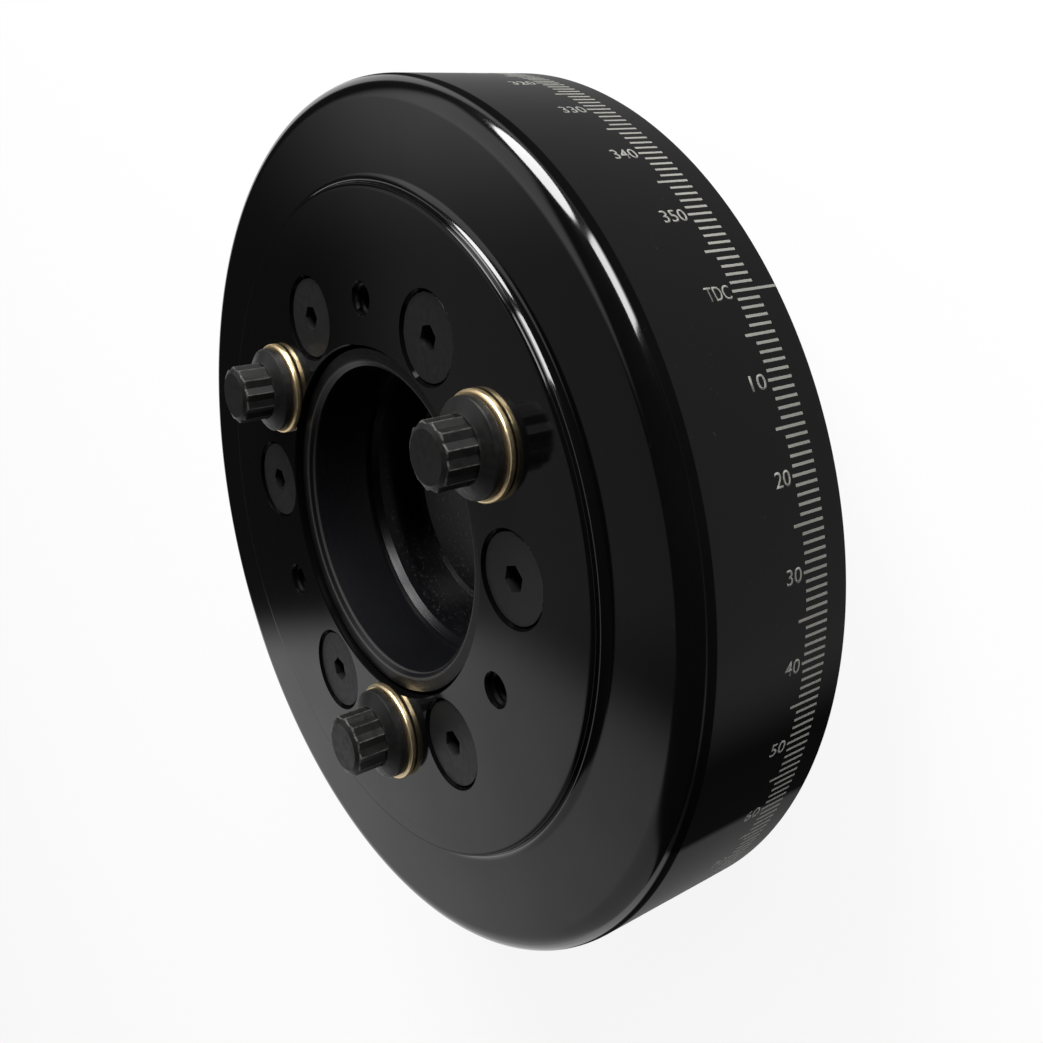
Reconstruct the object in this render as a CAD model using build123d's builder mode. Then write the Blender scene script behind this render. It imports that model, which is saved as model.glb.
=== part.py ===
from build123d import *
from math import cos, radians, tan
import os

# Harmonic balancer for an engine's crankshaft. A front shell and an inner shell close round a
# loose inertia ring, which floats on elastomer rings. A stepped hub carries both shells.
# The axis is +Z, the front face looks up, and the hub's tail stands on Z = 0. Sizes are in mm.

# ---------------------------------------------------------------- driving dimensions
OUTER_R = 89.85             # rim, 7.074 in across
TAIL_H = 20.0               # hub tail behind the shells, where the crankshaft's oil seal runs
RIM_H = 35.1                # rim, from its back edge to the flat ring round the boss
BOSS_H = 2.5                # how far the boss stands above that ring
BOSS_R = 68.3               # flat top of the boss
BORE_R = 36.95              # opening in the boss
CORNER_R = 4.5              # rounded front corner of the rim
STEP_R = 1.0                # rounding at the boss's edge, and the fillet at its foot
RIM_WALL = 6.85
PLATE_T = 9.8               # front plate, through the boss
FIRST_HOLE = 86.37          # degrees from +X to the first pulley bolt; the timing scale starts at 90
HOLE_STEP = 30.0            # twelve fixings share one ring of holes

# hub
PILOT_R = 36.9              # seats in the boss opening
PILOT_RELIEF_R = 36.4       # relieved nose, which leaves a fine groove in the boss opening
PILOT_BELOW_FACE = 1.45
FLANGE_R = 57.0
FLANGE_H = 15.8
SHOULDER_R = 40.0           # pilots the inner shell
TAIL_R = 31.0               # oil seal journal
TAIL_LEAD = (3.0, 1.5)      # long shallow lead-in for the seal: length, depth
NOSE_R = 32.45              # front counterbore
NOSE_LIP_R = 33.5
MIDDLE_R = 30.7             # second counterbore, where the crankshaft bolt's washer seats
CRANK_R = 24.3              # crankshaft bore
NOSE_DEPTH = 16.9           # depths of the steps below the boss face
MIDDLE_DEPTH = 18.6
SEAT_DEPTH = 25.8
KEY_W = 4.76
KEY_DEPTH = 2.4

# countersunk hub screws, 5/16 in
HUB_SCREW_CIRCLE_R = 47.0
HUB_SCREW_COUNT = 6
SCREW_THREAD_R = 3.97
SCREW_SHANK_R = 3.91
SCREW_CLEARANCE_R = 4.2
SHANK_TIP = 1.0             # chamfer at the end of a shank
SCREW_HEAD_R = 8.65
SCREW_RIM = 0.5             # straight edge of the head
SCREW_SINK = 0.55           # top of the head below the boss face
SCREW_LENGTH = 22.2
SINK_HOLE_R = 9.35
SINK_ANGLE = 82.0
HEX_AF = 4.76
HEX_DEPTH = 4.4
SOCKET_TURNS = (8, 2, -1, -16, 25, 15)     # where each screw came to rest when it was tightened

# pulley bolts, 3/8 in, twelve-point
PULLEY_CIRCLE_R = 46.5
PULLEY_BOLT_COUNT = 3
BOLT_THREAD_R = 4.7625
BOLT_SHANK_R = 4.70
BOLT_CLEARANCE_R = 5.0
BOLT_AF = 11.1
BOLT_FLANGE_R = 9.45
BOLT_FLANGE_T = 1.9
BOLT_CONE_H = 1.3
BOLT_HEAD_H = 10.2          # from under the flange to the end of the head
BOLT_END_R = 5.0
BOLT_END_CHAMFER = 0.75
BOLT_LENGTH = 25.4
BOLT_TURNS = (17.5, 5.5, 26)               # the same for the pulley bolts
WASHER_R = 10.3
WASHER_T = 1.65
WASHER_EDGE_R = 0.55

# tapped puller holes, 1/4 in
PULLER_R = 3.175
PULLER_CHAMFER_R = 3.6

# inner shell and its screws, 1/4 in
INNER_WALL_R = 61.0
INNER_BORE_R = 57.05
INNER_PLATE_T = 5.6
INNER_OPENING_GAP = 0.05
SEAT_R = 84.2               # rebate in the back of the front shell
SEAT_GAP = 0.05
BACK_INSET = 0.4            # the inner shell's back sits this far inside the rim
SHELL_SCREW_CIRCLE_R = 49.5
SHELL_SCREW_COUNT = 6
SHELL_SCREW_R = 3.12
SHELL_SCREW_HEAD_R = 4.75
SHELL_SCREW_HEAD_H = 6.35
SHELL_SCREW_LENGTH = 15.9
SHELL_SCREW_HEX = 4.76
COUNTERBORE_R = 5.3
COUNTERBORE_DEPTH = 7.0

# inertia ring and the elastomer rings
INERTIA_IN_R = 62.8
INERTIA_OUT_R = 81.6
INERTIA_CHAMFER = 1.5
FACE_GAP = 2.2              # ring to shell, on both faces
FACE_GROOVE_W = 6.4
FACE_GROOVE_DEPTH = 2.6
FACE_RING_D = 5.3
FACE_RING_RADII = {"inner": 67.1, "outer": 77.3}
BORE_GROOVE_W = 4.6
BORE_GROOVE_DEPTH = 2.1
BORE_RING_D = 4.3
BORE_RING_OFFSET = 2.9      # either side of the inertia ring's middle

# ---------------------------------------------------------------- heights
RIM_BACK = TAIL_H
RING_FACE = RIM_BACK + RIM_H
BOSS_FACE = RING_FACE + BOSS_H
PLATE_BACK = BOSS_FACE - PLATE_T
FLANGE_BACK = PLATE_BACK - FLANGE_H
INNER_PLATE_BACK = RIM_BACK + BACK_INSET
INNER_PLATE_FACE = INNER_PLATE_BACK + INNER_PLATE_T
PILOT_FACE = BOSS_FACE - PILOT_BELOW_FACE
WASHER_SEAT = BOSS_FACE - SEAT_DEPTH
INERTIA_TOP = PLATE_BACK - FACE_GAP
INERTIA_BOTTOM = INNER_PLATE_FACE + FACE_GAP
INERTIA_MIDDLE = (INERTIA_TOP + INERTIA_BOTTOM) / 2
SHELL_SCREW_SEAT = INNER_PLATE_BACK + COUNTERBORE_DEPTH

os.makedirs("parts", exist_ok=True)


def ring_of(count, first, radius, height):
    """Places on a circle about the axis, evenly spaced, each turned to face outwards."""
    step = 360 / count
    turns = [Location((0, 0, height), (0, 0, first + step * i)) for i in range(count)]
    return [turn * Location((radius, 0, 0)) for turn in turns]


def each_turned(places, angles):
    """The same places, each turned about its own axis by its own angle."""
    return [place * Location((0, 0, 0), (0, 0, angle)) for place, angle in zip(places, angles)]


def edge_circles(part, height):
    """The circular edges at one height, smallest first."""
    return part.edges().filter_by(GeomType.CIRCLE).filter_by_position(
        Axis.Z, height, height
    ).sort_by(SortBy.RADIUS)


def export_each(piece, node, places):
    """Writes one numbered copy of a fastener for each of its places."""
    for number, place in enumerate(places, start=1):
        copy = piece.moved(place)
        copy.label = f"{node}_{number}"
        export_step(copy, f"parts/{node}_{number}.step")


# the ring of holes goes round screw, puller hole, screw, bolt, four times 30 degrees, three times
SCREW_FIRST = FIRST_HOLE + HOLE_STEP
PULLER_FIRST = FIRST_HOLE + 2 * HOLE_STEP
SHELL_SCREW_FIRST = FIRST_HOLE + HOLE_STEP / 2

# ---------------------------------------------------------------- front shell
# Cup-shaped: rim, front plate with its raised boss, opening, and the ring of holes. The hub
# screws' straight recess is as deep as seats their heads on the countersink's cone.
inside_r = OUTER_R - RIM_WALL
boss_wall_r = BOSS_R + STEP_R
corner = (OUTER_R, RING_FACE - CORNER_R), (OUTER_R - CORNER_R, RING_FACE)
foot = (boss_wall_r + STEP_R, RING_FACE), (boss_wall_r, RING_FACE + STEP_R)
brow = (boss_wall_r, BOSS_FACE - STEP_R), (BOSS_R, BOSS_FACE)
cone_drop = (SINK_HOLE_R - SCREW_HEAD_R) / tan(radians(SINK_ANGLE / 2))
recess_depth = SCREW_SINK + SCREW_RIM - cone_drop

with BuildPart() as front_shell:
    with BuildSketch(Plane.XZ):
        with BuildLine():
            Polyline(
                (BORE_R, PLATE_BACK),
                (inside_r, PLATE_BACK),
                (inside_r, INNER_PLATE_FACE),
                (SEAT_R, INNER_PLATE_FACE),
                (SEAT_R, RIM_BACK),
                (OUTER_R, RIM_BACK),
                corner[0],
            )
            RadiusArc(*corner, -CORNER_R)
            Line(corner[1], foot[0])
            RadiusArc(*foot, STEP_R)
            Line(foot[1], brow[0])
            RadiusArc(*brow, -STEP_R)
            Polyline(brow[1], (BORE_R, BOSS_FACE), (BORE_R, PLATE_BACK))
        make_face()
    revolve(axis=Axis.Z)
    chamfer(edge_circles(front_shell, RIM_BACK)[-1], length=0.3)
    chamfer(edge_circles(front_shell, RIM_BACK)[0], length=0.3)
    chamfer(edge_circles(front_shell, BOSS_FACE)[0], length=0.25)
    screw_places = ring_of(HUB_SCREW_COUNT, SCREW_FIRST, HUB_SCREW_CIRCLE_R, BOSS_FACE)
    recess_places = ring_of(HUB_SCREW_COUNT, SCREW_FIRST, HUB_SCREW_CIRCLE_R, BOSS_FACE - recess_depth)
    bolt_places = ring_of(PULLEY_BOLT_COUNT, FIRST_HOLE, PULLEY_CIRCLE_R, BOSS_FACE)
    puller_places = ring_of(PULLEY_BOLT_COUNT, PULLER_FIRST, PULLEY_CIRCLE_R, BOSS_FACE)
    with Locations(*recess_places):
        CounterSinkHole(SCREW_CLEARANCE_R, SINK_HOLE_R, counter_sink_angle=SINK_ANGLE)
    with Locations(*bolt_places):
        Hole(BOLT_CLEARANCE_R)
    with Locations(*puller_places):
        CounterSinkHole(PULLER_R, PULLER_CHAMFER_R, counter_sink_angle=90)

front_shell.part.label = "front_shell"
export_step(front_shell.part, "parts/front_shell.step")

# ---------------------------------------------------------------- hub
# Turned in steps: pilot, flange, shoulder and tail outside; lip, two counterbores and the
# crankshaft bore inside. The keyway runs from the tail to the washer's seat.
lead_length, lead_depth = TAIL_LEAD

with BuildPart() as hub:
    with BuildSketch(Plane.XZ):
        with BuildLine():
            Polyline(
                (CRANK_R + 1.0, 0),
                (TAIL_R - lead_depth, 0),
                (TAIL_R, lead_length),
                (TAIL_R, INNER_PLATE_BACK),
                (SHOULDER_R - 0.5, INNER_PLATE_BACK),
                (SHOULDER_R, INNER_PLATE_BACK + 0.5),
                (SHOULDER_R, FLANGE_BACK),
                (FLANGE_R, FLANGE_BACK),
                (FLANGE_R, PLATE_BACK),
                (PILOT_R, PLATE_BACK),
                (PILOT_R, PILOT_FACE - 1.8),
                (PILOT_RELIEF_R, PILOT_FACE - 1.3),
                (PILOT_RELIEF_R, PILOT_FACE - 0.3),
                (PILOT_RELIEF_R - 0.3, PILOT_FACE),
                (NOSE_LIP_R, PILOT_FACE),
                (NOSE_R, PILOT_FACE - 0.9),
                (NOSE_R, BOSS_FACE - NOSE_DEPTH),
                (MIDDLE_R + 0.8, BOSS_FACE - NOSE_DEPTH),
                (MIDDLE_R, BOSS_FACE - MIDDLE_DEPTH),
                (MIDDLE_R, WASHER_SEAT),
                (CRANK_R + 0.8, WASHER_SEAT),
                (CRANK_R, WASHER_SEAT - 0.8),
                (CRANK_R, 1.0),
                close=True,
            )
        make_face()
    revolve(axis=Axis.Z)
    fillet(edge_circles(hub, INNER_PLATE_BACK)[0], radius=2.0)
    with BuildSketch(Plane.XY):
        with Locations((0, CRANK_R)):
            Rectangle(KEY_W, 2 * KEY_DEPTH)
    extrude(amount=WASHER_SEAT, mode=Mode.SUBTRACT)
    with Locations(*ring_of(HUB_SCREW_COUNT, SCREW_FIRST, HUB_SCREW_CIRCLE_R, PLATE_BACK)):
        Hole(SCREW_THREAD_R, depth=FLANGE_H)
    with Locations(*ring_of(PULLEY_BOLT_COUNT, FIRST_HOLE, PULLEY_CIRCLE_R, PLATE_BACK)):
        Hole(BOLT_THREAD_R, depth=FLANGE_H)
    # the shell screws' holes are tapped from behind and stop short of the front plate
    tapped_depth = FLANGE_H - 3.0
    with BuildSketch(Plane.XY.offset(FLANGE_BACK)):
        with Locations(*ring_of(SHELL_SCREW_COUNT, SHELL_SCREW_FIRST, SHELL_SCREW_CIRCLE_R, 0)):
            Circle(PULLER_R)
    extrude(amount=tapped_depth, mode=Mode.SUBTRACT)

hub.part.label = "hub"
export_step(hub.part, "parts/hub.step")

# ---------------------------------------------------------------- inner shell
# Back plate, thick where the hub's flange clamps it, and the wall that the inertia ring floats round.
opening_r = SHOULDER_R + INNER_OPENING_GAP

with BuildPart() as inner_shell:
    with BuildSketch(Plane.XZ):
        with BuildLine():
            Polyline(
                (opening_r + 0.5, INNER_PLATE_BACK),
                (SEAT_R - SEAT_GAP - 0.5, INNER_PLATE_BACK),
                (SEAT_R - SEAT_GAP, INNER_PLATE_BACK + 0.5),
                (SEAT_R - SEAT_GAP, INNER_PLATE_FACE),
                (INNER_WALL_R, INNER_PLATE_FACE),
                (INNER_WALL_R, PLATE_BACK),
                (INNER_BORE_R, PLATE_BACK),
                (INNER_BORE_R, FLANGE_BACK),
                (opening_r, FLANGE_BACK),
                (opening_r, INNER_PLATE_BACK + 0.5),
                close=True,
            )
        make_face()
    revolve(axis=Axis.Z)
    shell_screw_spots = ring_of(SHELL_SCREW_COUNT, SHELL_SCREW_FIRST, SHELL_SCREW_CIRCLE_R, 0)
    with BuildSketch(Plane.XY.offset(INNER_PLATE_BACK)):
        with Locations(*shell_screw_spots):
            Circle(COUNTERBORE_R)
    extrude(amount=COUNTERBORE_DEPTH, mode=Mode.SUBTRACT)
    with BuildSketch(Plane.XY.offset(SHELL_SCREW_SEAT)):
        with Locations(*shell_screw_spots):
            Circle(PULLER_R + 0.25)
    extrude(amount=FLANGE_BACK - SHELL_SCREW_SEAT, mode=Mode.SUBTRACT)

inner_shell.part.label = "inner_shell"
export_step(inner_shell.part, "parts/inner_shell.step")

# ---------------------------------------------------------------- inertia ring
# Heavy loose ring, grooved on both faces and in its bore for the elastomer rings.
with BuildPart() as inertia_ring:
    with BuildSketch(Plane.XZ):
        with BuildLine():
            Polyline(
                (INERTIA_IN_R, INERTIA_BOTTOM),
                (INERTIA_OUT_R - INERTIA_CHAMFER, INERTIA_BOTTOM),
                (INERTIA_OUT_R, INERTIA_BOTTOM + INERTIA_CHAMFER),
                (INERTIA_OUT_R, INERTIA_TOP - INERTIA_CHAMFER),
                (INERTIA_OUT_R - INERTIA_CHAMFER, INERTIA_TOP),
                (INERTIA_IN_R, INERTIA_TOP),
                close=True,
            )
        make_face()
        for face_ring_r in FACE_RING_RADII.values():
            with Locations((face_ring_r, INERTIA_TOP), (face_ring_r, INERTIA_BOTTOM)):
                Rectangle(FACE_GROOVE_W, 2 * FACE_GROOVE_DEPTH, mode=Mode.SUBTRACT)
        for side in (-1, 1):
            with Locations((INERTIA_IN_R, INERTIA_MIDDLE + side * BORE_RING_OFFSET)):
                Rectangle(2 * BORE_GROOVE_DEPTH, BORE_GROOVE_W, mode=Mode.SUBTRACT)
    revolve(axis=Axis.Z)

inertia_ring.part.label = "inertia_ring"
export_step(inertia_ring.part, "parts/inertia_ring.step")


# ---------------------------------------------------------------- elastomer rings
def export_elastomer_ring(node, radius, height, diameter, across, along):
    """A round-section ring squeezed flat where it is pressed, across and along the axis."""
    with BuildPart() as ring:
        with BuildSketch(Plane.XZ):
            with Locations((radius, height)):
                Circle(diameter / 2)
                Rectangle(across, along, mode=Mode.INTERSECT)
        revolve(axis=Axis.Z)
    ring.part.label = node
    export_step(ring.part, f"parts/{node}.step")


face_squeezed = FACE_GAP + FACE_GROOVE_DEPTH
front_ring_z = PLATE_BACK - face_squeezed / 2
rear_ring_z = INNER_PLATE_FACE + face_squeezed / 2
for where, ring_r in FACE_RING_RADII.items():
    for end, ring_z in {"front": front_ring_z, "rear": rear_ring_z}.items():
        export_elastomer_ring(
            f"face_ring_{end}_{where}", ring_r, ring_z, FACE_RING_D, FACE_RING_D, face_squeezed
        )

bore_squeezed = INERTIA_IN_R - INNER_WALL_R + BORE_GROOVE_DEPTH
bore_ring_r = INNER_WALL_R + bore_squeezed / 2
for end, side in {"rear": -1, "front": 1}.items():
    ring_z = INERTIA_MIDDLE + side * BORE_RING_OFFSET
    export_elastomer_ring(f"bore_ring_{end}", bore_ring_r, ring_z, BORE_RING_D, bore_squeezed, BORE_RING_D)

# ---------------------------------------------------------------- countersunk hub screws
# Drawn once on the axis with the top of the head at Z = 0, then copied to their places.
head_cone_h = (SCREW_HEAD_R - SCREW_SHANK_R) / tan(radians(SINK_ANGLE / 2))

with BuildPart() as hub_screw:
    with BuildSketch(Plane.XZ):
        with BuildLine():
            Polyline(
                (0, 0),
                (SCREW_HEAD_R - 0.15, 0),
                (SCREW_HEAD_R, -0.15),
                (SCREW_HEAD_R, -SCREW_RIM),
                (SCREW_SHANK_R, -SCREW_RIM - head_cone_h),
                (SCREW_SHANK_R, -SCREW_LENGTH + SHANK_TIP),
                (SCREW_SHANK_R - SHANK_TIP, -SCREW_LENGTH),
                (0, -SCREW_LENGTH),
                close=True,
            )
        make_face()
    revolve(axis=Axis.Z)
    with BuildSketch(Plane.XY):
        RegularPolygon(HEX_AF / 2, 6, major_radius=False)
    extrude(amount=-HEX_DEPTH, mode=Mode.SUBTRACT)

head_places = ring_of(HUB_SCREW_COUNT, SCREW_FIRST, HUB_SCREW_CIRCLE_R, BOSS_FACE - SCREW_SINK)
export_each(hub_screw.part, "hub_screw", each_turned(head_places, SOCKET_TURNS))

# ---------------------------------------------------------------- twelve-point pulley bolts
# Drawn on the axis with the underside of the flange at Z = 0. The twelve points are two
# hexagons, one turned by 30 degrees, and the end is turned to a chamfer that cuts every point.
point_r = BOLT_AF / 2 / cos(radians(30))

with BuildPart() as pulley_bolt:
    with BuildSketch(Plane.XY.offset(BOLT_FLANGE_T)):
        RegularPolygon(point_r, 6)
        RegularPolygon(point_r, 6, rotation=30)
    extrude(amount=BOLT_HEAD_H - BOLT_FLANGE_T)
    with BuildSketch(Plane.XZ):
        with BuildLine():
            Polyline(
                (0, 0),
                (point_r, 0),
                (point_r, BOLT_HEAD_H - BOLT_END_CHAMFER),
                (BOLT_END_R, BOLT_HEAD_H),
                (0, BOLT_HEAD_H),
                close=True,
            )
        make_face()
    revolve(axis=Axis.Z, mode=Mode.INTERSECT)
    with BuildSketch(Plane.XZ):
        with BuildLine():
            Polyline(
                (0, -BOLT_LENGTH),
                (BOLT_SHANK_R - SHANK_TIP, -BOLT_LENGTH),
                (BOLT_SHANK_R, -BOLT_LENGTH + SHANK_TIP),
                (BOLT_SHANK_R, 0),
                (BOLT_FLANGE_R - 0.3, 0),
                (BOLT_FLANGE_R, 0.3),
                (BOLT_FLANGE_R, BOLT_FLANGE_T - 0.25),
                (BOLT_FLANGE_R - 0.25, BOLT_FLANGE_T),
                (point_r + 0.1, BOLT_FLANGE_T + BOLT_CONE_H),
                (0, BOLT_FLANGE_T + BOLT_CONE_H),
                close=True,
            )
        make_face()
    revolve(axis=Axis.Z)

seat_places = ring_of(PULLEY_BOLT_COUNT, FIRST_HOLE, PULLEY_CIRCLE_R, BOSS_FACE + WASHER_T)
export_each(pulley_bolt.part, "pulley_bolt", each_turned(seat_places, BOLT_TURNS))

# ---------------------------------------------------------------- washers under the pulley bolts
with BuildPart() as bolt_washer:
    with BuildSketch(Plane.XY):
        Circle(WASHER_R)
        Circle(BOLT_CLEARANCE_R + 0.1, mode=Mode.SUBTRACT)
    extrude(amount=WASHER_T)
    washer_rims = bolt_washer.edges().filter_by(GeomType.CIRCLE).sort_by(SortBy.RADIUS)[-2:]
    fillet(washer_rims, radius=WASHER_EDGE_R)

export_each(bolt_washer.part, "bolt_washer", bolt_places)

# ---------------------------------------------------------------- socket cap screws at the back
# Drawn with the underside of the head at Z = 0 and the shank pointing up, into the hub.
with BuildPart() as shell_screw:
    with BuildSketch(Plane.XZ):
        with BuildLine():
            Polyline(
                (0, -SHELL_SCREW_HEAD_H),
                (SHELL_SCREW_HEAD_R - 0.4, -SHELL_SCREW_HEAD_H),
                (SHELL_SCREW_HEAD_R, -SHELL_SCREW_HEAD_H + 0.4),
                (SHELL_SCREW_HEAD_R, 0),
                (SHELL_SCREW_R, 0),
                (SHELL_SCREW_R, SHELL_SCREW_LENGTH - 0.8),
                (SHELL_SCREW_R - 0.8, SHELL_SCREW_LENGTH),
                (0, SHELL_SCREW_LENGTH),
                close=True,
            )
        make_face()
    revolve(axis=Axis.Z)
    with BuildSketch(Plane.XY.offset(-SHELL_SCREW_HEAD_H)):
        RegularPolygon(SHELL_SCREW_HEX / 2, 6, major_radius=False)
    extrude(amount=SHELL_SCREW_HEAD_H / 2, mode=Mode.SUBTRACT)

export_each(
    shell_screw.part,
    "shell_screw",
    ring_of(SHELL_SCREW_COUNT, SHELL_SCREW_FIRST, SHELL_SCREW_CIRCLE_R, SHELL_SCREW_SEAT),
)
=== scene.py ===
"""Finishes, timing scale, puller threads and studio for a harmonic balancer.

Everything is in metres, in the frame of the part: the crankshaft axis is +Z and the timing
scale's zero line stands at +Y. Degrees on the scale run clockwise, seen from the front.
"""

from math import cos, pi, radians, sin

import bmesh
import bpy
from mathutils import Euler, Matrix, Vector


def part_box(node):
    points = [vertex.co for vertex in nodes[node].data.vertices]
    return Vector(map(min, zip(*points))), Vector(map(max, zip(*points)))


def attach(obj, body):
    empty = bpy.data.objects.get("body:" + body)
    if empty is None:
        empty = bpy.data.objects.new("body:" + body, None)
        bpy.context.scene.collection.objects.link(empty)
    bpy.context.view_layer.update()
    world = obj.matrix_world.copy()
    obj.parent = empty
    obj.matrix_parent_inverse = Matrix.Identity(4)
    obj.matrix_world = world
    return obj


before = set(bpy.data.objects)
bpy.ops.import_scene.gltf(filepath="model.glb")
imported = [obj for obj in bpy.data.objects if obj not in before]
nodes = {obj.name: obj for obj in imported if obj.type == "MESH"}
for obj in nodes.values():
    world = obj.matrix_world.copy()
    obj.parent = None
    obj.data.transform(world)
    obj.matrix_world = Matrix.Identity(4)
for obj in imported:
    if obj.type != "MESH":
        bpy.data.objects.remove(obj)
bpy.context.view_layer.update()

MM = 0.001

# ---------------------------------------------------------------- places taken from the frame
RIM_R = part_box("front_shell")[1].x
RIM_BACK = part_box("front_shell")[0].z
BOSS_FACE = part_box("front_shell")[1].z
WASHER_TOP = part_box("bolt_washer_1")[1].z
BOLT_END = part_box("pulley_bolt_1")[1].z
SCREW_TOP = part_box("hub_screw_1")[1].z
RING_FACE = BOSS_FACE - 2.5 * MM
BOSS_WALL_R = 69.3 * MM
CORNER_R = 4.5 * MM         # rounded front corner of the rim
STEP_R = 1.0 * MM           # rounding at the boss's edge, and the fillet at its foot

# the ring of twelve holes, in degrees from +X
FIRST_BOLT_DEG = 86.37
FIRST_SCREW_DEG = FIRST_BOLT_DEG + 30
FIRST_PULLER_DEG = FIRST_BOLT_DEG + 60
BOLT_CIRCLE_R = 46.5 * MM
SCREW_CIRCLE_R = 47.0 * MM
SCREW_HEAD_R = 8.65 * MM

# the cap screws at the back
FIRST_SHELL_SCREW_DEG = FIRST_BOLT_DEG + 15
SHELL_SCREW_CIRCLE_R = 49.5 * MM
SHELL_SCREW_HEAD_R = 4.75 * MM
SHELL_SCREW_WORN_Z = 21 * MM

# the hub: edges of its steps, as radius and depth below the boss face, its seat and its journal
HUB_EDGES = (
    (33.5 * MM, 1.45 * MM),
    (32.45 * MM, 2.5 * MM),
    (30.7 * MM, 16.9 * MM),
    (24.3 * MM, 25.8 * MM),
)
SEAT_R = 31.0 * MM
SEAT_DEPTH = 19.0 * MM
JOURNAL_INNER_R = 28.0 * MM
JOURNAL_TOP = 20.5 * MM

# where the clear coat's share is cut, as painted shade that darkens its reflections
# painted shade: the rim's wall keeps little coat, so that its reflection shows dark
WALL_COAT_SHADED = 0.22            # the share of it that the rim's wall keeps
TURN_START = 1.6 * MM       # above the wall's top, the coat comes back between these heights
TURN_END = 2.1 * MM
# painted shade: a dark band in the reflection where the wall turns into the rounded corner
TURN_SHADE_LOSS = 0.9             # share lost at the turn from wall to rounded corner
# painted shade: the boss's edge loses its coat, hiding the reflected line on it
BROW_SHADE_LOSS = 0.95            # share lost along the boss's edge
# painted shade: the coat is cut down in the holes so that they show dark
HOLE_SHADE_LOSS = 0.9             # share lost down in the holes
HOLES_REACH = 60 * MM       # the holes lie inside this radius

# the studio's directions, laid out as if the balancer stood on its rim
UP = Vector((-0.7886, 0.6148, 0.0))
FRONT = Vector((0, 0, 1))
SIDE = Vector((0.6148, 0.7886, 0.0))


# ---------------------------------------------------------------- finishes as node recipes
class Signal:
    """One socket of a finish's node tree. Arithmetic on signals adds Math nodes to that tree."""

    def __init__(self, finish, socket):
        self.finish = finish
        self.socket = socket

    def _with(self, operation, *values):
        return self.finish.node("ShaderNodeMath", {"operation": operation}, dict(enumerate(values)))

    def __add__(self, other):
        return self._with("ADD", self, other)

    def __radd__(self, other):
        return self._with("ADD", other, self)

    def __sub__(self, other):
        return self._with("SUBTRACT", self, other)

    def __rsub__(self, other):
        return self._with("SUBTRACT", other, self)

    def __mul__(self, other):
        return self._with("MULTIPLY", self, other)

    def __rmul__(self, other):
        return self._with("MULTIPLY", other, self)

    def __truediv__(self, other):
        return self._with("DIVIDE", self, other)

    def __pow__(self, other):
        return self._with("POWER", self, other)

    def __abs__(self):
        return self._with("ABSOLUTE", self)

    def root(self):
        return self._with("SQRT", self)

    def least(self, other):
        return self._with("MINIMUM", self, other)

    def most(self, other):
        return self._with("MAXIMUM", self, other)


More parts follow.
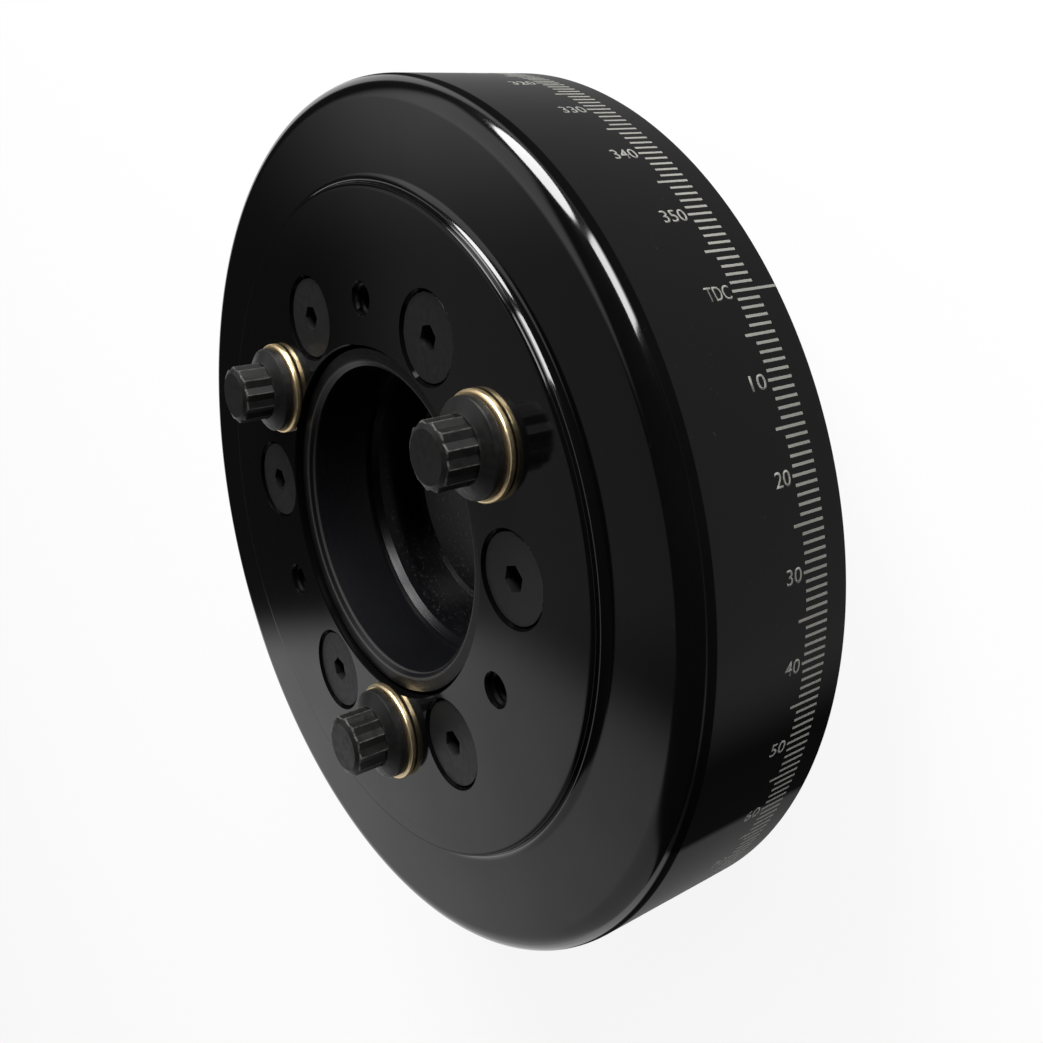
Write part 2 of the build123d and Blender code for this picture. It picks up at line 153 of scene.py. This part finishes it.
class Finish:
    """A material, built with one call for every node."""

    def __init__(self, name, **constants):
        self.material = bpy.data.materials.new(name)
        self.material.use_nodes = True
        self.tree = self.material.node_tree
        self.shader = self.tree.nodes["Principled BSDF"]
        for socket, value in constants.items():
            self.shader.inputs[socket.replace("_", " ")].default_value = value

    def node(self, kind, settings=None, sockets=None, output=0):
        """Adds a node, applies its settings, then fills its sockets with values or signals."""
        made = self.tree.nodes.new(kind)
        for name, value in (settings or {}).items():
            if name == "stops":
                self._stops(made.color_ramp, value)
            else:
                setattr(made, name, value)
        for key, value in (sockets or {}).items():
            if isinstance(value, Signal):
                self.tree.links.new(value.socket, made.inputs[key])
            else:
                made.inputs[key].default_value = value
        return Signal(self, made.outputs[output])

    @staticmethod
    def _stops(ramp, stops):
        while len(ramp.elements) < len(stops):
            ramp.elements.new(0.5)
        for element, (place, colour) in zip(ramp.elements, stops):
            element.position = place
            element.color = colour if isinstance(colour, tuple) else (colour, colour, colour, 1)

    def drive(self, socket, signal):
        """Feeds a socket of the shader."""
        self.tree.links.new(signal.socket, self.shader.inputs[socket])

    def place(self):
        """The point on the object, in metres."""
        return self.node("ShaderNodeTexCoord", output="Object")

    def axes(self, place):
        """x, y and z of a place, as three signals."""
        split = self.node("ShaderNodeSeparateXYZ", sockets={0: place})
        outputs = split.socket.node.outputs
        return [Signal(self, outputs[i]) for i in range(3)]

    def join(self, x, y, z):
        return self.node("ShaderNodeCombineXYZ", sockets={0: x, 1: y, 2: z})

    def noise(self, place, scale, detail=3.0, roughness=0.55, distortion=0.0):
        sockets = {
            "Vector": place, "Scale": scale, "Detail": detail,
            "Roughness": roughness, "Distortion": distortion,
        }
        return self.node("ShaderNodeTexNoise", sockets=sockets, output="Fac")

    def ramp(self, signal, low, high, to_low=0.0, to_high=1.0):
        """Smooth step from to_low to to_high while the signal goes from low to high."""
        sockets = {
            "Value": signal, "From Min": low, "From Max": high, "To Min": to_low, "To Max": to_high,
        }
        return self.node("ShaderNodeMapRange", {"interpolation_type": "SMOOTHSTEP"}, sockets)

    def blend(self, mask, first, second):
        """Mixes two colours."""
        made = self.node("ShaderNodeMix", {"data_type": "RGBA"}, {0: mask})
        mix = made.socket.node
        for index, colour in ((6, first), (7, second)):
            if isinstance(colour, Signal):
                self.tree.links.new(colour.socket, mix.inputs[index])
            else:
                mix.inputs[index].default_value = (*colour, 1)
        return Signal(self, mix.outputs[2])

    def bump(self, height, distance, strength=1.0):
        sockets = {"Height": height, "Distance": distance, "Strength": strength}
        return self.node("ShaderNodeBump", sockets=sockets)

    def reach(self, place):
        """Distance from the crankshaft axis."""
        x, y, _ = self.axes(place)
        return (x * x + y * y).root()

    def lathe_rings(self, place):
        """Fine rings round the crankshaft axis, as a lathe leaves them."""
        _, _, z = self.axes(place)
        return self.noise(self.join(self.reach(place) * 9000.0, z * 9000.0, 0.0), 1.0, 2.0)

    def reach_in_ring(self, place, count, first_deg, circle_r):
        """Distance from the axis of the nearest of a ring of fasteners."""
        x, y, _ = self.axes(place)
        step = 2 * pi / count
        reach = (x * x + y * y).root()
        turn = y._with("ARCTAN2", y, x) - radians(first_deg) + step / 2
        turn = turn._with("FLOORED_MODULO", turn, step) - step / 2
        out = reach * turn._with("COSINE", turn) - circle_r
        along = reach * turn._with("SINE", turn)
        return (out * out + along * along).root()


def coat_weight(finish, place):
    """Share of the clear coat: less on the rim's wall, along the boss's edge and in the holes, as
    painted shade that darkens their reflections.
    """
    x, y, z = finish.axes(place)
    reach = finish.reach(place)
    wall_top = RING_FACE - CORNER_R
    turn_start, turn_end = wall_top + TURN_START, wall_top + TURN_END
    at_rim = finish.ramp(reach, RIM_R - 1.0 * MM, RIM_R - 0.6 * MM)
    # painted shade: the rim's wall keeps only a share of the coat, darkening its reflection
    on_wall = finish.ramp(z, turn_start, turn_end, WALL_COAT_SHADED, 1.0)
    # painted shade: almost no coat at the turn from wall to corner, a dark band in its reflection
    in_turn = finish.ramp(z, wall_top - 0.1 * MM, wall_top + 0.15 * MM)
    in_turn = in_turn * finish.ramp(z, turn_start, turn_end, 1.0, 0.0)
    # painted shade: the rim's coat is cut over the scale from 38 degrees, most from 49 to 59, a little
    # beyond 60, for a dark reflection there
    mark = x._with("ARCTAN2", x, y) * (180 / pi)
    marks_painted_shade = finish.ramp(mark, 38, 49) * finish.ramp(mark, 59, 60.5, 0.92, 0.15)
    on_wall = on_wall * (1 - in_turn * TURN_SHADE_LOSS) * (1 - marks_painted_shade)
    # painted shade along the boss's edge, less of it on the side towards SIDE, where its highlights stay
    brow = finish.ramp(abs(reach - BOSS_WALL_R), 0.9 * MM, 0.5 * MM)
    brow = brow * finish.ramp(z, BOSS_FACE - 1.2 * MM, BOSS_FACE - 0.9 * MM)
    near_side = finish.ramp(x * SIDE.x + y * SIDE.y, -30 * MM, 30 * MM)
    # painted shade: little coat anywhere below the boss face within 60 mm of the axis, which takes in
    # the holes
    in_holes = finish.ramp(reach, HOLES_REACH, HOLES_REACH - 1 * MM)
    in_holes = in_holes * finish.ramp(z, BOSS_FACE - 0.02 * MM, BOSS_FACE - 0.06 * MM)
    weight = (1 - at_rim * (1 - on_wall)) * (1 - brow * (BROW_SHADE_LOSS - near_side * 0.3))
    return weight * (1 - in_holes * HOLE_SHADE_LOSS)


def gloss_black(name):
    """Deep gloss black: a clear top coat with haze and a little dust."""
    finish = Finish(name, Specular_IOR_Level=0.0, Coat_Roughness=0.095, Coat_IOR=1.5)
    place = finish.place()
    haze = finish.noise(place, 55.0, 4.0)
    dust = finish.noise(place, 900.0, 2.0)
    peel = finish.noise(place, 420.0, 1.0)
    specks = finish.ramp(dust, 0.72, 0.78)
    colour = finish.blend(haze, (0.0012, 0.0012, 0.0013), (0.0028, 0.0028, 0.0029))
    colour = finish.blend(specks * 0.12, colour, (0.05, 0.048, 0.045))
    finish.drive("Base Color", colour)
    finish.drive("Roughness", finish.ramp(haze, 0.3, 0.7, 0.32, 0.45))
    # haze thins the coat a little at random; the rest of the cut is painted shade
    weight = finish.ramp(haze, 0.3, 0.7, 1.0, 0.93) * coat_weight(finish, place)
    finish.drive("Coat Weight", weight)
    finish.drive("Normal", finish.bump(peel, 0.000006))
    return finish.material


def turned_steel(name, dark, light):
    """Metal off the lathe: fine rings round the axis, satin, with stains."""
    finish = Finish(name, Metallic=1.0)
    place = finish.place()
    rings = finish.lathe_rings(place)
    stains = finish.noise(place, 90.0, 5.0, 0.65)
    finish.drive("Base Color", finish.blend(finish.ramp(stains, 0.35, 0.7), dark, light))
    finish.drive("Roughness", finish.ramp(rings, 0.3, 0.7, 0.26, 0.40) + stains * 0.1)
    finish.drive("Normal", finish.bump(rings, 0.000010, 0.6))
    return finish.material


def hub_black(name):
    """Black inside and on the pilot, rubbed on the edges of its steps; ground steel on the tail."""
    finish = Finish(name, IOR=1.36)
    place = finish.place()
    _, _, z = finish.axes(place)
    reach = finish.reach(place)
    rings = finish.lathe_rings(place)
    stains = finish.noise(place, 90.0, 5.0, 0.65)
    scuffs = finish.noise(place, 1400.0, 4.0, 0.7)
    edges = 0.0
    for edge_r, depth in HUB_EDGES:
        near = (abs(reach - edge_r) ** 2 + abs(z - (BOSS_FACE - depth)) ** 2).root()
        edges = finish.ramp(near, 0.45 * MM, 0.10 * MM).most(edges)
    seat = finish.ramp(reach, SEAT_R, SEAT_R - 0.5 * MM) * finish.ramp(scuffs, 0.56, 0.68)
    seat = seat * finish.ramp(z, BOSS_FACE - SEAT_DEPTH, BOSS_FACE - SEAT_DEPTH - 1.5 * MM)
    journal = finish.ramp(reach, JOURNAL_INNER_R, JOURNAL_INNER_R + 0.5 * MM)
    journal = journal * finish.ramp(z, JOURNAL_TOP, JOURNAL_TOP - 0.3 * MM)
    worn = (edges * 0.12).most(seat * 0.3)
    black = finish.blend(stains, (0.0022, 0.0023, 0.0030), (0.0040, 0.0040, 0.0052))
    black = finish.blend(worn, black, (0.30, 0.29, 0.27))
    steel = finish.blend(finish.ramp(stains, 0.35, 0.7), (0.34, 0.33, 0.32), (0.46, 0.45, 0.43))
    finish.drive("Base Color", finish.blend(journal, black, steel))
    finish.drive("Metallic", journal.most(worn))
    finish.drive("Roughness", finish.ramp(rings, 0.3, 0.7, 0.24, 0.34) + stains * 0.05)
    finish.drive("Normal", finish.bump(rings, 0.000004, 0.6))
    return finish.material


def black_oxide_screw(name, count, first_deg, circle_r, top, worn_r):
    """Black oxide: satin, faintly mottled, with turned rings on the head and a rubbed rim."""
    finish = Finish(name, IOR=1.37)
    place = finish.place()
    reach = finish.reach_in_ring(place, count, first_deg, circle_r)
    _, _, z = finish.axes(place)
    mottle = finish.noise(place, 700.0, 4.0, 0.6)
    rings = finish.noise(finish.join(reach * 7000.0, 0.0, 0.0), 1.0, 1.0)
    rubbed = finish.ramp(reach, worn_r - 0.25 * MM, worn_r) * finish.ramp(z, top - 0.5 * MM, top)
    rubbed = rubbed * finish.ramp(mottle, 0.45, 0.6)
    colour = finish.blend(mottle, (0.006, 0.006, 0.0063), (0.011, 0.011, 0.0113))
    finish.drive("Base Color", finish.blend(rubbed * 0.5, colour, (0.20, 0.19, 0.18)))
    finish.drive("Roughness", finish.ramp(mottle, 0.3, 0.7, 0.34, 0.46))
    finish.drive("Normal", finish.bump(rings + mottle, 0.000010, 0.5))
    return finish.material


def black_oxide_bolt(name):
    """Black oxide on the twelve-point bolts, rubbed to bright steel along the ridges and end."""
    finish = Finish(name, IOR=1.35)
    place = finish.place()
    reach = finish.reach_in_ring(place, 3, FIRST_BOLT_DEG, BOLT_CIRCLE_R)
    _, _, z = finish.axes(place)
    mottle = finish.noise(place, 800.0, 4.0, 0.6)
    scuffs = finish.noise(place, 900.0, 3.0, 0.7)
    head = finish.ramp(z, WASHER_TOP + 3.0 * MM, WASHER_TOP + 3.6 * MM)
    ridges = finish.ramp(reach, 6.28 * MM, 6.40 * MM) * head * 0.7
    shoulder = finish.ramp(abs(z - (BOLT_END - 0.75 * MM)), 0.28 * MM, 0.10 * MM)
    shoulder = shoulder * finish.ramp(reach, 5.4 * MM, 5.7 * MM)
    rubbed = (ridges + shoulder).least(1.0) * finish.ramp(scuffs, 0.30, 0.70)
    colour = finish.blend(mottle, (0.004, 0.004, 0.004), (0.008, 0.0078, 0.0075))
    finish.drive("Base Color", finish.blend(rubbed * 0.45, colour, (0.34, 0.33, 0.31)))
    finish.drive("Metallic", rubbed * 0.8)
    finish.drive("Roughness", finish.ramp(mottle, 0.3, 0.7, 0.36, 0.50))
    finish.drive("Normal", finish.bump(mottle + scuffs * 0.4, 0.000012, 0.5))
    return finish.material


def yellow_zinc(name):
    """Yellow zinc plate: gold, with the film's faint green and rose drift."""
    finish = Finish(name, Metallic=1.0)
    place = finish.place()
    film = finish.noise(place, 160.0, 3.0, 0.5)
    fine = finish.noise(place, 1500.0, 3.0, 0.6)
    gold = finish.blend(finish.ramp(film, 0.35, 0.65), (0.90, 0.68, 0.38), (0.95, 0.77, 0.47))
    gold = finish.blend(finish.ramp(film, 0.60, 0.75) * 0.4, gold, (0.66, 0.64, 0.36))
    finish.drive("Base Color", gold)
    finish.drive("Roughness", finish.ramp(fine, 0.3, 0.7, 0.30, 0.37))
    finish.drive("Normal", finish.bump(fine, 0.0000004, 0.5))
    return finish.material


def elastomer(name):
    """Moulded rubber with a talc bloom."""
    finish = Finish(name, Metallic=0.0)
    place = finish.place()
    bloom = finish.noise(place, 240.0, 4.0)
    finish.drive("Base Color", finish.blend(bloom, (0.012, 0.012, 0.012), (0.035, 0.034, 0.032)))
    finish.drive("Roughness", finish.ramp(bloom, 0.3, 0.7, 0.55, 0.80))
    finish.drive("Normal", finish.bump(bloom, 0.00002, 0.5))
    return finish.material


def etched(name):
    """Marks etched through the black: pale grey, slightly uneven from mark to mark."""
    finish = Finish(name, Metallic=0.0)
    place = finish.place()
    grain = finish.noise(place, 1800.0, 3.0, 0.6)
    drift = finish.noise(place, 60.0, 2.0)
    colour = finish.blend(grain, (0.10, 0.10, 0.09), (0.17, 0.165, 0.15))
    colour = finish.blend(finish.ramp(drift, 0.3, 0.7) * 0.35, colour, (0.24, 0.235, 0.21))
    finish.drive("Base Color", colour)
    finish.drive("Roughness", finish.ramp(grain, 0.3, 0.7, 0.50, 0.65))
    finish.drive("Normal", finish.bump(grain, 0.00001, 0.5))
    return finish.material


def tapped_black(name):
    """Black run down into a tapped hole: satin and oily in places, its reflection turned low as painted
    shade down the hole.
    """
    # the low specular level is painted shade in the hole; the black is the coat's own colour
    finish = Finish(name, IOR=1.4, Specular_IOR_Level=0.25)
    place = finish.place()
    oil = finish.noise(place, 900.0, 3.0)
    finish.drive("Base Color", finish.blend(oil, (0.0015, 0.0015, 0.0015), (0.0035, 0.0034, 0.0033)))
    finish.drive("Roughness", finish.ramp(oil, 0.35, 0.65, 0.30, 0.50))
    finish.drive("Normal", finish.bump(oil, 0.000006, 0.5))
    return finish.material


def dress(finish, *names):
    """Gives CAD nodes their finish."""
    for name in names:
        slots = nodes[name].data.materials
        slots.clear()
        slots.append(finish)


def numbered(stem):
    """The nodes whose names are a stem and a number."""
    return sorted(name for name in nodes if name.rstrip("0123456789") == stem + "_")


coat = gloss_black("gloss_black_coat")
dress(coat, "front_shell", "inner_shell")
dress(hub_black("hub_black"), "hub")
dress(turned_steel("inertia_ring_iron", (0.10, 0.10, 0.10), (0.20, 0.195, 0.19)), "inertia_ring")
hub_screw_oxide = black_oxide_screw(
    "hub_screw_oxide", 6, FIRST_SCREW_DEG, SCREW_CIRCLE_R, SCREW_TOP, SCREW_HEAD_R
)
dress(hub_screw_oxide, *numbered("hub_screw"))
shell_screw_oxide = black_oxide_screw(
    "shell_screw_oxide", 6, FIRST_SHELL_SCREW_DEG, SHELL_SCREW_CIRCLE_R, SHELL_SCREW_WORN_Z,
    SHELL_SCREW_HEAD_R,
)
dress(shell_screw_oxide, *numbered("shell_screw"))
dress(black_oxide_bolt("pulley_bolt_oxide"), *numbered("pulley_bolt"))
dress(yellow_zinc("washer_yellow_zinc"), *numbered("bolt_washer"))
dress(elastomer("elastomer"), *[name for name in nodes if name.startswith(("face_ring_", "bore_ring_"))])


# ---------------------------------------------------------------- new pieces
def finished(name, mesh, finish):
    """Links a bmesh as a piece of the object, with its finish."""
    bmesh.ops.recalc_face_normals(mesh, faces=mesh.faces)
    data = bpy.data.meshes.new(name)
    mesh.to_mesh(data)
    mesh.free()
    data.materials.append(finish)
    piece = bpy.data.objects.new(name, data)
    bpy.context.scene.collection.objects.link(piece)
    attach(piece, "root")
    return piece


# ---------------------------------------------------------------- the coat's film on the shell
# It follows the shell's turned outside in finer steps than the solid's facets.
FILM_T = 0.01 * MM          # how far the film stands off the metal
FILM_ROOT = 0.15 * MM       # how far its closed section reaches into it
FOOT_R = 1.72 * MM          # the film fills the foot of the boss
BROW_R = 0.75 * MM          # and stands off the boss's edge a little
FILM_INNER_R = 66.0 * MM    # it starts on the boss, outside the ring of holes
FILM_BACK = 0.3 * MM        # and ends this far in front of the rim's back edge
FILM_STEPS = 600            # round the axis
SHARP_ANGLE = radians(25)
EASE = 0.2 * MM             # flats end this far beyond a round, so that they shade flat


def film_section():
    """The film's closed section as one face, with its three corners rounded."""
    wall, boss = BOSS_WALL_R + FILM_T, BOSS_FACE + FILM_T
    rim, ring = RIM_R + FILM_T, RING_FACE + FILM_T
    back = RIM_BACK + FILM_BACK
    outside = [
        (FILM_INNER_R, boss), (wall - STEP_R - EASE, boss), (wall, boss), (wall, ring),
        (wall + FOOT_R + EASE, ring), (rim - CORNER_R - EASE, ring), (rim, ring),
        (rim, ring - CORNER_R - EASE), (rim, back),
    ]
    inside = [
        (rim - FILM_ROOT, back), (rim - FILM_ROOT, ring - CORNER_R),
        (rim - CORNER_R, ring - FILM_ROOT),
        (wall - FILM_ROOT, ring - FILM_ROOT), (wall - FILM_ROOT, boss - STEP_R),
        (wall - STEP_R, boss - FILM_ROOT), (FILM_INNER_R, boss - FILM_ROOT),
    ]
    mesh = bmesh.new()
    verts = [mesh.verts.new((reach, 0, height)) for reach, height in outside + inside]
    mesh.faces.new(verts)
    rounds = ((verts[2], BROW_R, 10), (verts[3], FOOT_R, 14), (verts[6], CORNER_R, 24))
    for corner, radius, segments in rounds:
        bmesh.ops.bevel(
            mesh, geom=[corner], offset=radius, offset_type="OFFSET", affect="VERTICES",
            segments=segments, profile=0.5, material=-1,
        )
    return mesh


def coat_film():
    """The film over the rim, its rounded corner, the flat ring and the boss's edge."""
    mesh = film_section()
    bmesh.ops.delete(mesh, geom=list(mesh.faces), context="FACES_ONLY")
    bmesh.ops.spin(
        mesh, geom=[*mesh.edges, *mesh.verts], cent=(0, 0, 0), axis=(0, 0, 1),
        angle=2 * pi, steps=FILM_STEPS, use_merge=True,
    )
    for face in mesh.faces:
        face.smooth = True
    for edge in mesh.edges:
        edge.smooth = edge.calc_face_angle(0) < SHARP_ANGLE
    return mesh


finished("coat_film", coat_film(), coat)

# ---------------------------------------------------------------- timing scale
MARK_PROUD = 0.02 * MM      # the marks stand just clear of the coat
MARK_SUNK = 0.12 * MM       # and reach into it
TICK_W = 0.50 * MM
TICK_START = 5.1 * MM       # every mark starts this far in front of the rim's back edge
ZERO_START = 0.4 * MM       # but the zero line runs on, nearly to that edge
TICK_L = 5.2 * MM
TEN_TICK_L = 5.6 * MM
FIVE_TICK_L = 7.0 * MM
NUMBER_GAP = 0.5 * MM       # between a tick and its number
NUMBER_H = 2.65 * MM        # height of a figure, along the circumference
NUMBER_W = 1.9 * MM         # pitch of the figures, along the axis
FIGURE_SPACE = 0.25 * MM


def scale_matrix(degrees, height):
    """Frame of a mark: x runs back along the axis, y down the scale, z out of the rim."""
    out = Vector((sin(radians(degrees)), cos(radians(degrees)), 0))
    back = Vector((0, 0, -1))
    spot = out * RIM_R - back * (RIM_BACK + height)
    return Matrix.Translation(spot) @ Matrix((back, out.cross(back), out)).transposed().to_4x4()


def tick_length(degrees):
    if degrees % 10 == 0:
        return TEN_TICK_L
    return FIVE_TICK_L if degrees % 5 == 0 else TICK_L


def timing_ticks():
    """One short bar for each degree, and a zero line that runs on to the rim's back edge."""
    mesh = bmesh.new()
    for degrees in range(360):
        start = ZERO_START if degrees == 0 else TICK_START
        end = TICK_START + tick_length(degrees)
        made = bmesh.ops.create_cube(mesh, size=1.0)
        size = Matrix.Diagonal((end - start, TICK_W, MARK_PROUD + MARK_SUNK, 1))
        middle = Matrix.Translation((0, 0, (MARK_PROUD - MARK_SUNK) / 2))
        place = scale_matrix(degrees, (start + end) / 2)
        bmesh.ops.transform(mesh, matrix=place @ middle @ size, verts=made["verts"])
    return mesh


def figures(text):
    """A word as a flat mesh, one unit high, with its left end at x = 0."""
    curve = bpy.data.curves.new("figures", "FONT")
    curve.body = text
    curve.align_y = "CENTER"
    curve.resolution_u = 4
    curve.offset = 0.004
    word = bpy.data.objects.new("figures", curve)
    bpy.context.scene.collection.objects.link(word)
    bpy.context.view_layer.update()
    flat = bpy.data.meshes.new_from_object(word.evaluated_get(bpy.context.evaluated_depsgraph_get()))
    bpy.data.objects.remove(word)
    bpy.data.curves.remove(curve)
    return flat


def timing_numbers():
    """Ten, twenty and so on in front of their ticks, reading back towards them."""
    mesh = bmesh.new()
    for degrees in range(0, 360, 10):
        text = str(degrees) if degrees else "TDC"
        flat = figures(text)
        before = len(mesh.verts)
        mesh.from_mesh(flat)
        bpy.data.meshes.remove(flat)
        mesh.verts.ensure_lookup_table()
        verts = mesh.verts[before:]
        low = Vector((min(v.co.x for v in verts), min(v.co.y for v in verts)))
        high = Vector((max(v.co.x for v in verts), max(v.co.y for v in verts)))
        width = NUMBER_W * len(text) - FIGURE_SPACE
        fit = Matrix.Diagonal((width / (high.x - low.x), NUMBER_H / (high.y - low.y), 1, 1))
        middle = Matrix.Translation((-high.x, -(low.y + high.y) / 2, 0))
        place = scale_matrix(degrees, TICK_START + tick_length(degrees) + NUMBER_GAP)
        flat_to_rim = place @ Matrix.Translation((0, 0, -MARK_SUNK)) @ fit @ middle
        bmesh.ops.transform(mesh, matrix=flat_to_rim, verts=verts)
    faces = list(mesh.faces)
    raised = bmesh.ops.extrude_face_region(mesh, geom=faces)
    tops = [item for item in raised["geom"] if isinstance(item, bmesh.types.BMVert)]
    for vert in tops:
        out = Vector((vert.co.x, vert.co.y, 0))
        vert.co += out * ((RIM_R + MARK_PROUD) / out.length - 1)
    return mesh


marks = etched("etched_marks")
finished("timing_ticks", timing_ticks(), marks)
finished("timing_numbers", timing_numbers(), marks)

# ---------------------------------------------------------------- threads in the puller holes
THREAD_PITCH = 1.27 * MM
THREAD_DEPTH = 0.50 * MM
THREAD_ROOT = 0.05 * MM     # how far the ridge reaches into the hole's wall
THREAD_TOP = BOSS_FACE - 0.9 * MM
THREAD_BOTTOM = BOSS_FACE - 9.0 * MM
STEPS_A_TURN = 32
PULLER_R = 3.175 * MM


def puller_thread(degrees):
    """A helical ridge down a tapped hole."""
    mesh = bmesh.new()
    root, crest = PULLER_R + THREAD_ROOT, PULLER_R - THREAD_DEPTH
    section = (
        (root, THREAD_PITCH * 0.44),
        (crest, THREAD_PITCH * 0.08),
        (crest, -THREAD_PITCH * 0.08),
        (root, -THREAD_PITCH * 0.44),
    )
    length = THREAD_TOP - THREAD_BOTTOM
    turns = length / THREAD_PITCH
    face = mesh.faces.new([mesh.verts.new((reach, 0, height)) for reach, height in section])
    bmesh.ops.spin(
        mesh, geom=[face, *face.edges, *face.verts], cent=(0, 0, 0), axis=(0, 0, 1),
        dvec=(0, 0, length / (STEPS_A_TURN * turns)), angle=2 * pi * turns,
        steps=round(STEPS_A_TURN * turns),
    )
    to_circle = Matrix.Translation((BOLT_CIRCLE_R, 0, THREAD_BOTTOM))
    centre = Matrix.Rotation(radians(degrees), 4, "Z") @ to_circle
    bmesh.ops.transform(mesh, matrix=centre, verts=mesh.verts)
    return mesh


tapped = tapped_black("tapped_black")
for number in range(3):
    thread = puller_thread(FIRST_PULLER_DEG + 120 * number)
    finished(f"puller_thread_{number + 1}", thread, tapped)

# ---------------------------------------------------------------- camera
camera_data = bpy.data.cameras.new("camera")
camera_data.lens = 40.51
camera_data.sensor_width = 36.0
camera_data.shift_y = -0.1165
camera_data.clip_start = 0.01
camera = bpy.data.objects.new("camera", camera_data)
camera.location = (0.05428, 0.21198, 0.17099)
camera.rotation_euler = Euler([radians(turn) for turn in (-15.026, 53.031, 52.059)], "XYZ")
bpy.context.scene.collection.objects.link(camera)
bpy.context.scene.camera = camera

# ---------------------------------------------------------------- studio
FLOOR_SIZE = 6.0
FLOOR_PAINT = 0.8           # how much light the white floor gives back to the object
FLOOR_WHITE = 0.89          # how bright it looks, with the little light it takes itself
ROOM_LEVEL = 0.02
CEILING_LEVEL = 0.06
WINDOW_LEVEL = 0.95
DOOR_LEVEL = 0.13


def softbox(name, shape, bearing, distance, low, size, radiance):
    """A softbox on the studio's plan, facing the object: its bearing is from UP towards SIDE."""
    width, height = size
    level = UP * cos(radians(bearing)) + SIDE * sin(radians(bearing))
    middle = level * distance + FRONT * (low + height / 2)
    light = bpy.data.lights.new(name, "AREA")
    light.shape = shape
    light.size, light.size_y = width, height
    area = width * height * (pi / 4 if shape == "ELLIPSE" else 1)
    light.energy = radiance * pi * area
    lamp = bpy.data.objects.new(name, light)
    facing = middle.to_track_quat("Z", "Y").to_matrix().to_4x4()
    lamp.matrix_world = Matrix.Translation(middle) @ facing
    lamp.visible_camera = False
    bpy.context.scene.collection.objects.link(lamp)


softbox("overhead_front", "ELLIPSE", -7.5, 1.9, 0.20, (1.1, 1.1), 20.0)
softbox("overhead_side", "RECTANGLE", 28, 1.3, 0.0, (0.52, 0.62), 18.0)


class Room(Finish):
    """The world round the object, as a dim room that its gloss can mirror."""

    def __init__(self, name):
        world = bpy.data.worlds.new(name)
        world.use_nodes = True
        bpy.context.scene.world = world
        self.tree = world.node_tree
        self.shader = self.tree.nodes["Background"]
        self.direction = self.node("ShaderNodeTexCoord", output="Generated")
        height = self.towards(UP)
        turn = self.towards(SIDE)._with("ARCTAN2", self.towards(SIDE), self.towards(FRONT))
        self.elevation = height._with("ARCSINE", height) * (180 / pi)
        self.azimuth = turn * (180 / pi)

    def towards(self, axis):
        settings = {"operation": "DOT_PRODUCT"}
        return self.node("ShaderNodeVectorMath", settings, {0: self.direction, 1: axis}, "Value")

    def panel(self, elevations, azimuths, soft):
        """A soft-edged patch between two elevations and two azimuths."""
        up, along = self.elevation, self.azimuth
        mask = self.ramp(up, elevations[0] - soft, elevations[0] + soft)
        mask = mask * self.ramp(up, elevations[1] - soft, elevations[1] + soft, 1.0, 0.0)
        mask = mask * self.ramp(along, azimuths[0] - soft, azimuths[0] + soft)
        return mask * self.ramp(along, azimuths[1] - soft, azimuths[1] + soft, 1.0, 0.0)


def surroundings():
    """A dim room with a bright window, a faint door and a pale table, which meets the white floor."""
    room = Room("surroundings")
    level = ROOM_LEVEL + room.ramp(room.elevation, 35, 70) * CEILING_LEVEL
    level = level + room.panel((-3, 44), (-61, -24), 6) * WINDOW_LEVEL
    level = level + room.panel((-27, -6), (-60, -38), 3) * DOOR_LEVEL
    table_edge = room.azimuth + room.elevation * 2.14 + 111
    table = room.ramp(room.elevation, -27, -24.5, 1.0, 0.0) * room.ramp(table_edge, -4, 4, 1.0, 0.0)
    level = level + table * room.ramp(room.azimuth, -70, -40, 0.75, 0.42)
    horizon = room.ramp(room.towards(FRONT), sin(radians(1)), sin(radians(6)), 1.0, 0.0)
    level = level + horizon * (1 - level)
    room.drive("Strength", level)
    room.shader.inputs["Color"].default_value = (1, 1, 1, 1)


surroundings()


def floor():
    """White floor under the hub's tail, with a soft shadow."""
    mesh = bmesh.new()
    bmesh.ops.create_grid(mesh, x_segments=1, y_segments=1, size=FLOOR_SIZE)
    data = bpy.data.meshes.new("floor")
    mesh.to_mesh(data)
    mesh.free()
    ground = bpy.data.objects.new("floor", data)
    bpy.context.scene.collection.objects.link(ground)
    finish = Finish("floor_paint", Roughness=1.0, Specular_IOR_Level=0.0, Emission_Strength=1.0)
    seen = finish.node("ShaderNodeLightPath", output="Is Camera Ray")
    for ray in ("Is Glossy Ray", "Is Transmission Ray"):
        seen = seen.most(finish.node("ShaderNodeLightPath", output=ray))
    paint = finish.blend(seen, (FLOOR_PAINT,) * 3, (0.12, 0.12, 0.12))
    finish.drive("Base Color", paint)
    finish.drive("Emission Color", finish.blend(seen, (0.0, 0.0, 0.0), (FLOOR_WHITE,) * 3))
    data.materials.append(finish.material)


floor()

scene = bpy.context.scene
scene.view_settings.view_transform = "Standard"
